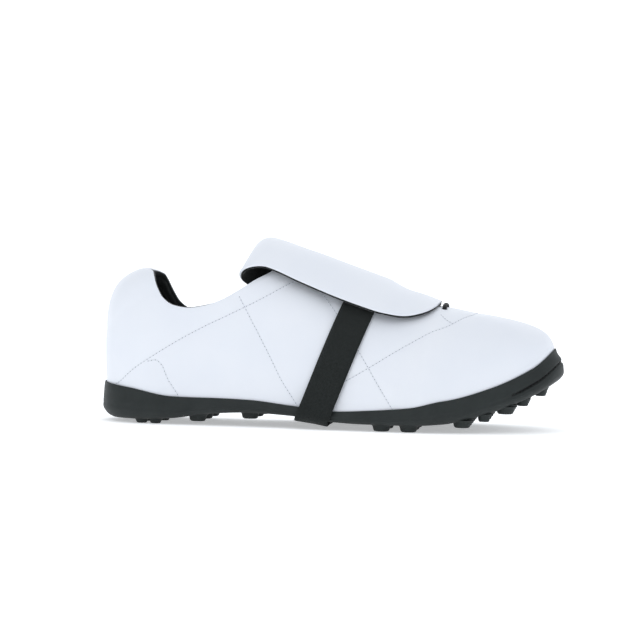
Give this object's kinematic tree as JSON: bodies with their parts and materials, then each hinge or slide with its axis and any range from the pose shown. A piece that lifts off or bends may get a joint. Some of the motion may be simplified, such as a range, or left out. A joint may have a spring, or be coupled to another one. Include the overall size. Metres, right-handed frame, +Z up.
{
  "type": "turf shoe",
  "caption": "White leather right turf shoe with a studded black rubber cup sole, a fold-over tongue flap and a black elastic band round the instep.",
  "frame": {"origin": "middle of the shoe's bounding box seen from above, on the floor the studs stand on", "axes": "+X towards the toe, +Y towards the big toe side (the wearer's left), +Z up"},
  "size_m": [0.284, 0.1032, 0.1145],
  "materials": {
    "white_leather": "smooth, semi-matt",
    "black_rubber": "matt",
    "black_lining": "matt",
    "black_elastic": "ribbed, matt",
    "black_lace": "woven, matt"
  },
  "bodies": {
    "root": {"upper": "white_leather", "tongue": "white_leather", "outsole": "black_rubber", "insole": "black_lining", "elastic_band": "black_elastic", "lace_bar": "black_lace", "lace_crossings": "black_lace"}
  },
  "joints": []
}
